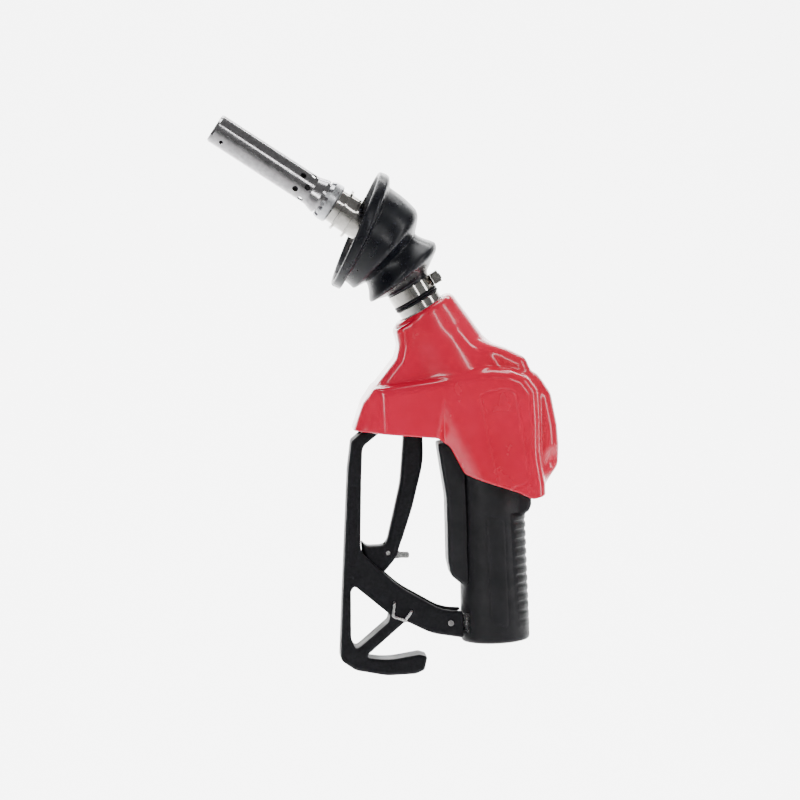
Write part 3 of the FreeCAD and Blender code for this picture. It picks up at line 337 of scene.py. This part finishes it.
class Field:
    """Sample points of a box in millimetres, for building solids from signed distances."""

    def __init__(self, low, high, step):
        self.low, self.step = low, step
        self.x, self.y, self.z = [
            np.arange(start, stop + step, step, dtype=np.float32) for start, stop in zip(low, high)]
        self.flat_x, self.flat_z = np.meshgrid(self.x, self.z, indexing="ij")
        self.X = self.x[:, None, None]
        self.Y = self.y[None, :, None]
        self.Z = self.z[None, None, :]

    def polygon(self, points):
        """Signed distance in the XZ plane to a closed polygon, negative inside."""
        x, z = self.flat_x, self.flat_z
        best = np.full(x.shape, 1e9, dtype=np.float32)
        inside = np.ones(x.shape, dtype=np.float32)
        count = len(points)
        for index in range(count):
            ax, az = points[index]
            bx, bz = points[index - 1]
            ex, ez = bx - ax, bz - az
            wx, wz = x - ax, z - az
            along = np.clip((wx * ex + wz * ez) / max(ex * ex + ez * ez, 1e-9), 0.0, 1.0)
            best = np.minimum(best, (wx - ex * along) ** 2 + (wz - ez * along) ** 2)
            above, below = z >= az, z < bz
            left = ex * wz > ez * wx
            flip = (above & below & left) | (~above & ~below & ~left)
            inside = np.where(flip, -inside, inside)
        return (inside * np.sqrt(best))[:, None, :]

    def slab(self, points, half, edge):
        """The polygon extruded across Y to +-half, its edges rounded by edge."""
        across = self.polygon(points) + edge
        out = np.abs(self.Y) - half + edge
        return (np.minimum(np.maximum(across, out), 0.0)
                + np.sqrt(np.maximum(across, 0.0) ** 2 + np.maximum(out, 0.0) ** 2) - edge)

    def hole(self, x, z, radius):
        """Signed distance to a round bar across Y."""
        return np.sqrt((self.X - x) ** 2 + (self.Z - z) ** 2) - radius

    def post(self, radius):
        """Signed distance to a round bar along the Z axis."""
        return np.sqrt(self.X ** 2 + self.Y ** 2) - radius

    def axis_terms(self, point, direction):
        """Distance along and away from an axis."""
        x, y, z = self.X - point[0], self.Y - point[1], self.Z - point[2]
        reach = x * direction[0] + y * direction[1] + z * direction[2]
        away = np.sqrt(np.maximum(x * x + y * y + z * z - reach * reach, 0.0))
        return reach, away

    def mesh(self, name, values, smooth=2):
        """The zero surface as a smoothed quad mesh object in metres."""
        background = 5.0
        grid = openvdb.FloatGrid(background)
        grid.copyFromArray(np.ascontiguousarray(values, dtype=np.float32))
        points, quads = grid.convertToQuads(isovalue=0.0)
        places = points.astype(np.float64) * self.step + np.array(self.low)
        ends = np.concatenate([quads[:, [0, 1]], quads[:, [1, 2]], quads[:, [2, 3]], quads[:, [3, 0]]])
        ends = np.concatenate([ends, ends[:, ::-1]]).astype(np.int64)
        shares = np.bincount(ends[:, 0], minlength=len(places))[:, None]
        shrink, swell = 0.6, -0.3
        for factor in (shrink, swell) * smooth:
            mean = np.stack([np.bincount(ends[:, 0], places[ends[:, 1], axis], len(places))
                             for axis in range(3)], axis=1) / np.maximum(shares, 1)
            places = places + factor * (mean - places)
        return solid_mesh(name, places * MM, facing_out(places, quads))


def join(first, second, blend):
    """Smooth union over a blend width."""
    share = np.clip(0.5 + 0.5 * (second - first) / blend, 0.0, 1.0)
    return second + (first - second) * share - blend * share * (1.0 - share)


def carve(first, second, blend):
    """first less second with a smooth edge."""
    return -join(-first, second, blend)


def overlap(first, second, blend):
    """What both share, with a smooth edge."""
    return -join(-first, -second, blend)


def rounded(corners, segments=6):
    """Outline points from (x, z, radius) corners, each round one a short curve of chords."""
    places = [np.array(corner[:2], float) for corner in corners]
    radii = [corner[2] if len(corner) > 2 else 0.0 for corner in corners]
    count = len(places)
    result = []
    for index, place in enumerate(places):
        back, ahead = places[index - 1] - place, places[(index + 1) % count] - place
        shorter = min(np.linalg.norm(back), np.linalg.norm(ahead))
        back, ahead = back / np.linalg.norm(back), ahead / np.linalg.norm(ahead)
        half_turn = math.acos(max(-1.0, min(1.0, float(back @ ahead)))) / 2
        if radii[index] <= 0 or half_turn > math.radians(89.5):
            result.append(tuple(place))
            continue
        reach = min(radii[index] / math.tan(half_turn), 0.49 * shorter)
        start, end = place + back * reach, place + ahead * reach
        for step in range(segments + 1):
            t = step / segments
            result.append(tuple((1 - t) ** 2 * start + 2 * t * (1 - t) * place + t * t * end))
    return result


def dress(piece, slot, *nodes):
    """Material from the record slot; the CAD nodes that the piece stands for are hidden."""
    piece.data.materials.append(MATERIALS[slot])
    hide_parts(*nodes)


# ---------------------------------------------------------------- vinyl cover

COVER_WALL = 2.6
COVER_HALF = 31.0
# The cheeks: the widest part of the cover, from the nose to the rear of the grip.
SLAB = rounded([
    (-92.0, 130.0), (-91.2, 150.0, 3), (-84.6, 168.0, 12), (-77.0, 178.6, 5), (-36.4, 183.0, 30),
    (-9.0, 187.6, 12), (2.0, 188.4, 12), (16.0, 186.6, 14), (26.5, 182.0, 12), (33.5, 172.0, 10),
    (34.0, 150.0, 40), (33.4, 128.0, 40), (36.0, 108.0, 8), (36.0, 80.0), (-40.0, 80.0), (-40.0, 130.0)])
# The narrower web that rises from the nose to the neck.
WEB = rounded([
    (-91.0, 140.0), (-90.8, 150.0, 2), (-83.6, 168.0, 12), (-74.0, 181.5, 20), (-61.0, 197.0, 8),
    (-59.0, 205.0, 8), (-60.8, 219.0, 4), (-50.0, 224.0), (-20.0, 215.0), (0.0, 190.0), (0.0, 140.0)])
SHOULDER = rounded([
    (-22.0, 220.0, 6), (-8.0, 206.0, 6), (0.0, 205.6, 6), (13.0, 201.0, 20), (26.6, 194.0, 7),
    (30.6, 184.0, 6), (40.0, 173.0, 6), (20.0, 150.0), (-30.0, 150.0), (-30.0, 210.0)])
REAR = rounded([
    (26.0, 184.0), (34.0, 183.0, 6), (43.4, 169.0, 14), (47.0, 147.0, 20), (47.6, 133.0, 16),
    (46.4, 119.6, 10), (38.0, 107.6, 8), (26.0, 96.0, 6), (14.0, 96.0), (14.0, 184.0)])
# Everything above the cover's lower edge.
HEM = rounded([
    (-130.0, 144.0), (-90.4, 149.4), (-60.0, 145.8, 30), (-36.0, 143.0, 7), (-27.4, 136.0, 7),
    (-18.6, 117.6, 5), (-12.0, 114.4, 6), (17.6, 103.4, 8), (26.6, 98.6, 6), (34.0, 100.0, 6),
    (60.0, 112.0), (60.0, 260.0), (-130.0, 260.0)])
CHEEK_PANEL = rounded([
    (-6.6, 172.0, 4), (9.0, 174.4, 6), (17.6, 172.6, 5), (25.2, 112.0, 4), (21.0, 108.8, 4),
    (9.4, 105.6, 5), (4.4, 108.6, 5)])


def cover_cheeks(field):
    """The wide slab, narrowed towards the nose and chamfered along its slanting front edge."""
    slab = field.slab(SLAB, COVER_HALF, edge=8.0)
    width = np.abs(field.Y)
    nose_x, nose_slope, taper_length = -72.0, 0.85, 30.0
    taper = width - COVER_HALF + nose_slope * np.maximum(nose_x - field.X, -taper_length)
    slab = overlap(slab, taper / math.hypot(1.0, nose_slope), blend=3.0)
    foot, run = Vector((-29.0, 138.6)), Vector((11.0, -24.0)).normalized()
    chamfer_reach, chamfer_slope, ahead_x, ahead_slope = 8.5, 0.9, -31.0, 2.5
    inside = (field.X - foot.x) * -run.y + (field.Z - foot.y) * run.x
    inside = inside + ahead_slope * np.maximum(ahead_x - field.X, 0.0)
    chamfer = width - COVER_HALF + chamfer_slope * (chamfer_reach - inside)
    return overlap(slab, chamfer / math.hypot(1.0, chamfer_slope), blend=3.0)


def cover_neck(reach, away):
    """The tube round the neck, a little wider lower down."""
    top_radius, flare, low_end, high_end = 22.6, 0.1, -56.0, 6.0
    tube = away - (top_radius - flare * np.minimum(reach, 0.0))
    tube = overlap(tube, low_end - reach, blend=4.0)
    return overlap(tube, reach - high_end, blend=1.0)


def make_cover():
    """The dipped shell: cheeks, web, neck, shoulder and rear bulge melted together, then hollowed."""
    field = Field((-96.0, -35.0, 90.0), (52.0, 35.0, 246.0), FINE * 1.2)
    reach, away = field.axis_terms(NECK_POINT, NECK_DIR)
    web = field.slab(WEB, half=22.0, edge=7.0)
    shoulder = field.slab(SHOULDER, half=20.5, edge=8.0)
    rear = field.slab(REAR, half=20.0, edge=11.0)
    upper = join(join(web, cover_neck(reach, away), blend=7.0), shoulder, blend=5.0)
    solid = join(cover_cheeks(field), upper, blend=3.0)
    solid = join(solid, rear, blend=3.5)

    dent_x, dent_y, dent_z, dent_radius, dent_squash = 46.0, 24.0, 121.0, 10.5, 0.8
    for side in (-dent_y, dent_y):
        squashed = (field.Z - dent_z) * dent_squash
        dent = np.sqrt((field.X - dent_x) ** 2 + (field.Y - side) ** 2 + squashed ** 2) - dent_radius
        solid = carve(solid, dent, blend=3.0)

    line_depth, line_width, cheek_y = 0.28, 0.55, 25.0
    line = np.exp(-(field.polygon(CHEEK_PANEL) / line_width) ** 2) * (np.abs(field.Y) > cheek_y)
    solid = solid + line_depth * line
    shell = overlap(solid, -(solid + COVER_WALL), blend=0.8)
    shell = overlap(shell, field.polygon(HEM), blend=1.0)

    lip_middle, lip_half, lip_radius, lip_round, neck_cut = -5.4, 2.4, 19.3, 3.0, -2.2
    lip_along = np.maximum(np.abs(reach - lip_middle) - lip_half, 0.0)
    lip = np.sqrt((away - lip_radius) ** 2 + lip_along ** 2) - lip_round
    shell = join(overlap(shell, reach - neck_cut, blend=2.4), lip, blend=1.2)
    piece = field.mesh("scuff_cover_shell", shell, smooth=3)
    dress(piece, "cover_vinyl", "scuff_cover")
    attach(piece, "housing")


make_cover()


# ---------------------------------------------------------------- rubber spout guard

# Rings of the moulding: centre x, centre z, slope of the ring's axis, radius.
BOOT_OUTER = [
    (-45.7, 237.6, NECK_SLOPE, 15.38), (-47.2, 240.4, NECK_SLOPE, 15.38), (-49.6, 244.9, 61.0, 15.38),
    (-50.6, 246.6, 60.0, 16.2), (-51.2, 247.8, 58.5, 18.4), (-52.0, 250.6, 55.5, 24.4),
    (-52.5, 252.4, 53.4, 28.2), (-53.2, 254.5, 51.6, 29.4), (-54.2, 256.2, 50.9, 28.9),
    (-57.6, 260.4, 49.0, 25.4), (-60.0, 263.4, 47.9, 23.7), (-61.2, 264.9, 47.2, 24.0),
    (-62.6, 267.0, 45.6, 28.4), (-63.7, 268.7, 44.0, 32.0), (-64.9, 270.6, 42.4, 33.7),
    (-66.4, 272.6, 40.4, 34.2), (-70.5, 276.8, 35.2, 34.6), (-75.2, 280.6, 30.0, 35.0),
    (-76.6, 281.4, 28.4, 35.6), (-77.3, 281.9, 27.4, 38.6), (-78.0, 282.4, 26.4, 41.2),
    (-79.2, 283.2, 25.8, 41.9), (-81.8, 284.6, 25.8, 41.9), (-83.4, 285.4, 25.8, 41.7),
    (-84.1, 285.8, 25.8, 40.8)]
BOOT_INNER = [
    (-84.2, 285.8, 25.8, 39.8), (-83.6, 285.5, 25.8, 39.0), (-81.5, 284.4, 25.8, 38.6),
    (-79.0, 283.2, 26.2, 37.8), (-76.8, 281.6, 28.4, 33.6), (-72.5, 278.6, 33.0, 31.8),
    (-66.4, 272.6, 40.4, 31.4), (-63.7, 268.7, 44.0, 28.6), (-61.2, 264.9, 47.2, 21.6),
    (-57.6, 260.4, 49.0, 23.0), (-53.3, 254.7, 51.6, 26.6), (-52.2, 251.4, 54.0, 22.0),
    (-51.2, 248.8, 58.0, 15.6), (-50.2, 246.4, 60.0, 13.75), (-47.2, 240.4, NECK_SLOPE, 13.7),
    (-45.7, 237.6, NECK_SLOPE, 13.7)]


def through(rows, steps):
    """A Catmull-Rom curve through rows of numbers, open ended."""
    rows = np.array(rows, float)
    padded = np.vstack([2 * rows[0] - rows[1], rows, 2 * rows[-1] - rows[-2]])
    result = []
    for index in range(1, len(padded) - 2):
        p0, p1, p2, p3 = padded[index - 1:index + 3]
        for step in range(steps):
            t = step / steps
            result.append(0.5 * (2 * p1 + (p2 - p0) * t + (2 * p0 - 5 * p1 + 4 * p2 - p3) * t * t
                                 + (3 * p1 - p0 - 3 * p2 + p3) * t ** 3))
    result.append(rows[-1])
    return result


def lathe(name, rings, segments):
    """A closed skin through rings, each a centre x, a centre z, a slope and a radius."""
    places = []
    for x, z, slope, radius in rings:
        tilt = math.radians(slope)
        up = np.array([math.sin(tilt), 0.0, math.cos(tilt)])
        turns = np.linspace(0.0, 2 * math.pi, segments, endpoint=False)
        circle = np.outer(np.cos(turns), up) + np.outer(np.sin(turns), (0.0, 1.0, 0.0))
        places.append(np.array([x, 0.0, z]) + radius * circle)
    places = np.concatenate(places)
    count = len(rings)
    quads = []
    for row in range(count):
        ahead = (row + 1) % count
        for turn in range(segments):
            side = (turn + 1) % segments
            quads.append((row * segments + turn, row * segments + side, ahead * segments + side,
                          ahead * segments + turn))
    return solid_mesh(name, places * MM, facing_out(places, np.array(quads)))


def make_boot():
    """One moulded skin from the clamped cuff over both crests to the rolled rim and back inside."""
    rings = through(BOOT_OUTER, steps=5) + through(BOOT_INNER, steps=5)
    piece = lathe("boot_skin", rings, segments=144)
    dress(piece, "boot_rubber", "boot_mouth", "boot_bellows", "boot_cuff")
    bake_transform(piece)


make_boot()


# ---------------------------------------------------------------- lever guard

GUARD = rounded([
    (-84.0, 160.0, 5), (-84.0, 149.5, 2), (-93.4, 142.0, 3), (-96.6, 122.0, 30), (-104.0, 33.6, 80),
    (-107.2, -7.0, 6), (-97.0, -14.5, 12), (-76.0, -19.2, 40), (-56.0, -19.0, 12), (-50.0, -16.5, 3),
    (-47.6, -7.4, 1.6), (-53.0, -5.6, 4), (-75.0, -8.6, 60), (-90.5, -6.0, 2.2), (-61.6, 17.6, 3),
    (-44.3, 8.3, 40), (-20.0, 3.6), (-20.0, 22.6), (-36.0, 23.8, 40), (-64.6, 41.4, 60), (-90.4, 66.5, 12),
    (-87.7, 115.0, 80), (-86.0, 138.0, 8), (-74.5, 146.5, 3), (-71.0, 150.0, 3), (-71.0, 160.0, 5)])
GUARD_WINDOW = rounded([
    (-95.6, 43.6, 3), (-72.0, 22.6, 3), (-73.4, 17.6, 3), (-96.4, -0.8, 3), (-99.2, 8.0, 3),
    (-98.0, 40.0, 3)])
GUARD_CHANNEL = rounded([
    (-94.6, 86.0, 2), (-96.6, 50.0, 2), (-93.0, 46.0, 3), (-67.0, 23.4, 4), (-60.6, 20.8, 4),
    (-45.0, 12.0, 3), (-30.0, 8.4, 3), (-10.0, 8.4, 1), (-10.0, 60.0, 1), (-60.0, 90.0, 1)])
GUARD_PADS = (
    rounded([(-95.4, 112.0, 2), (-98.6, 57.0, 2), (-94.0, 57.0, 2), (-91.2, 112.0, 2)]),
    rounded([(-100.4, 50.0, 2), (-102.6, 36.0, 2), (-98.8, 36.0, 1.5), (-96.2, 50.0, 2)]))
# Centre x, centre z and radius of the holes for the upper screws, lower pin and staple's two legs.
GUARD_HOLES = ((-78.5, 156.0, 2.55), (-31.0, 15.0, 2.05), (-68.9, 30.7, 1.05), (-57.6, 24.2, 1.05))


def make_guard():
    """The cast guard: rounded edges, open channel, window, ears and shallow side pads."""
    field = Field((-110.0, -14.0, -21.5), (-17.0, 14.0, 162.0), FINE)
    width = np.abs(field.Y)
    solid = field.slab(GUARD, half=12.5, edge=2.8)
    channel_half, ear_gap_half, ear_foot_z, grip_radius, pad_floor_y = 9.0, 6.3, 146.0, 25.5, 12.0
    channel = np.maximum(field.polygon(GUARD_CHANNEL), width - channel_half)
    solid = carve(solid, channel, blend=0.8)
    solid = carve(solid, field.polygon(GUARD_WINDOW), blend=1.4)
    ear_gap = np.maximum(width - ear_gap_half, ear_foot_z - field.Z)
    solid = carve(solid, ear_gap, blend=0.6)
    solid = carve(solid, field.post(grip_radius), blend=0.4)
    for hole in GUARD_HOLES:
        solid = carve(solid, field.hole(*hole), blend=0.3)
    for pad in GUARD_PADS:
        recess = np.maximum(field.polygon(pad), pad_floor_y - width)
        solid = carve(solid, recess, blend=0.35)
    piece = field.mesh("lever_guard_casting", solid)
    dress(piece, "guard_black", "lever_guard")
    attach(piece, "housing")


make_guard()


# ---------------------------------------------------------------- trigger lever

LEVER = rounded([
    (-59.0, 175.0, 6.5), (-57.8, 142.0, 40), (-61.3, 111.8, 90), (-68.0, 86.5, 60), (-72.6, 69.6, 7),
    (-86.0, 69.8, 8), (-89.6, 74.0, 1.5), (-88.2, 58.0, 6), (-76.0, 49.5, 5), (-66.0, 60.0, 20),
    (-53.6, 94.0, 90), (-44.6, 126.0, 60), (-44.3, 160.0, 20), (-45.0, 175.0, 6.5)])


# Centre x, centre z and radius of the holes for the lever pin and the clip pin.
LEVER_HOLES = ((-52.0, 168.0, 2.5), (-71.5, 64.5, 1.5))


def make_lever():
    """The forked trigger with softened edges, a slot for the clip and its two pin holes."""
    field = Field((-92.0, -9.0, 47.0), (-42.0, 9.0, 178.0), FINE * 0.8)
    width = np.abs(field.Y)
    solid = field.slab(LEVER, half=7.5, edge=4.2)
    slot_half, fork_foot_z = 4.3, 157.0
    solid = carve(solid, np.maximum(width - slot_half, fork_foot_z - field.Z), blend=0.6)
    clip_x, clip_z, clip_radius, clip_squash = -66.0, 63.5, 12.0, 1.3
    room = np.sqrt((field.X - clip_x) ** 2 + ((field.Z - clip_z) * clip_squash) ** 2) - clip_radius
    solid = carve(solid, np.maximum(width - slot_half, room), blend=0.6)
    for hole in LEVER_HOLES:
        solid = carve(solid, field.hole(*hole), blend=0.3)
    piece = field.mesh("lever_casting", solid)
    dress(piece, "lever_black", "lever")
    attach(piece, "lever")


make_lever()


# ---------------------------------------------------------------- hand grip and finger rest

RIB_COUNT, RIB_PITCH, RIB_LOW, RIB_HALF = 13, 6.1, 12.1, 1.75
GRIP_BORE = 19.2
GRIP_SHOULDER = rounded([
    (10.0, 84.5), (21.6, 86.4, 3), (25.6, 89.0, 3), (27.4, 93.0, 3), (27.6, 104.0, 3), (20.0, 118.0),
    (10.0, 118.0)])
GRIP_PANEL = rounded([(-4.5, 88.0, 2), (-4.4, 15.0, 2), (7.9, 11.4, 2), (7.8, 84.0, 2)])
REST = rounded([
    (-14.0, 40.5), (-22.3, 40.9, 3), (-29.5, 47.5, 5), (-31.4, 57.0, 8), (-30.7, 100.8, 60),
    (-33.4, 122.0, 60), (-35.2, 138.0, 2), (-14.0, 139.5)])


def grip_rise(field):
    """0 at the foot of the grip's taper, 1 at its top."""
    taper_foot_z, taper_length = 8.0, 78.0
    return np.clip((field.Z - taper_foot_z) / taper_length, 0.0, 1.0)


def grip_ribs(field, away):
    """A low pad round the rear of the grip, and the ribs that stand on it."""
    pad_radius, rib_radius, pad_edge, pad_middle_z, pad_half = 22.9, 23.6, 54.0, 48.6, 39.2
    height = (field.Z - RIB_LOW) / RIB_PITCH
    nearest = np.clip(np.round(height), 0, RIB_COUNT - 1)
    offset = np.abs(height - nearest) * RIB_PITCH
    around = np.degrees(np.arctan2(np.abs(field.Y), field.X))
    mm_per_degree, rib_inset = 0.38, 1.2
    span = np.maximum((around - pad_edge) * mm_per_degree, np.abs(field.Z - pad_middle_z) - pad_half)
    pad = overlap(away - pad_radius, span, blend=0.8)
    rib = overlap(np.maximum(offset - RIB_HALF, away - rib_radius), span + rib_inset, blend=0.5)
    return pad, rib


def make_grip():
    """The sleeve: soft lower lip, rear ribs over about 110 degrees and a panel line on each side."""
    field = Field((-25.0, -25.0, -1.0), (29.0, 25.0, 123.0), FINE)
    away = np.sqrt(field.X ** 2 + field.Y ** 2)
    foot_radius, narrowing, low_end, high_end = 23.46, 2.0, 0.6, 121.0
    outer = overlap(away - (foot_radius - narrowing * grip_rise(field)), low_end - field.Z, blend=3.0)
    outer = overlap(outer, field.Z - high_end, blend=0.5)
    pad, rib = grip_ribs(field, away)
    outer = join(join(outer, pad, blend=1.0), rib, blend=0.5)
    outer = join(outer, field.slab(GRIP_SHOULDER, half=12.0, edge=3.0), blend=2.0)
    line_depth, line_width, side_y = 0.35, 0.5, 15.0
    line = np.exp(-(field.polygon(GRIP_PANEL) / line_width) ** 2) * (np.abs(field.Y) > side_y)
    outer = outer + line_depth * line
    piece = field.mesh("grip_moulding", overlap(outer, GRIP_BORE - away, blend=0.5))
    dress(piece, "grip_rubber", "grip_sleeve")
    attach(piece, "housing")


def make_finger_rest():
    """The front rest: a rounded block saddled over the grip."""
    field = Field((-37.0, -16.0, 38.5), (-12.0, 16.0, 141.0), FINE)
    foot_radius, narrowing = 23.4, 1.0
    solid = field.slab(REST, half=14.5, edge=3.0)
    solid = carve(solid, field.post(foot_radius - narrowing * grip_rise(field)), blend=0.5)
    piece = field.mesh("finger_rest_moulding", solid)
    dress(piece, "grip_rubber", "finger_rest")
    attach(piece, "housing")


make_grip()
make_finger_rest()


# ---------------------------------------------------------------- spring coils

# Moving body, fixed end and moving end of each coil.
SPRINGS = {
    "main_spring": ("valve_stem", Vector((23.3, 0.0, 150.0)), Vector((8.9, 0.0, 150.0))),
    "vapor_spring": ("valve_stem", Vector((36.3, 0.0, 150.0)), Vector((30.5, 0.0, 150.0))),
    "check_spring": ("check", NECK_POINT - NECK_DIR * 18.6, NECK_POINT - NECK_DIR * 39.0),
    "boot_spring": ("boot_front", Vector((-53.6, 0.0, 253.2)), Vector((-65.6, 0.0, 270.4))),
}


def make_springs():
    """Each coil is a copy of its CAD node, baked in place; the node itself is hidden."""
    for name, (moving, fixed_end, moving_end) in SPRINGS.items():
        node = frame["nodes"][name]
        coil = bpy.data.objects.new(name + "_coil", node.data.copy())
        bpy.context.scene.collection.objects.link(coil)
        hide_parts(name)
        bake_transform(coil)


make_springs()
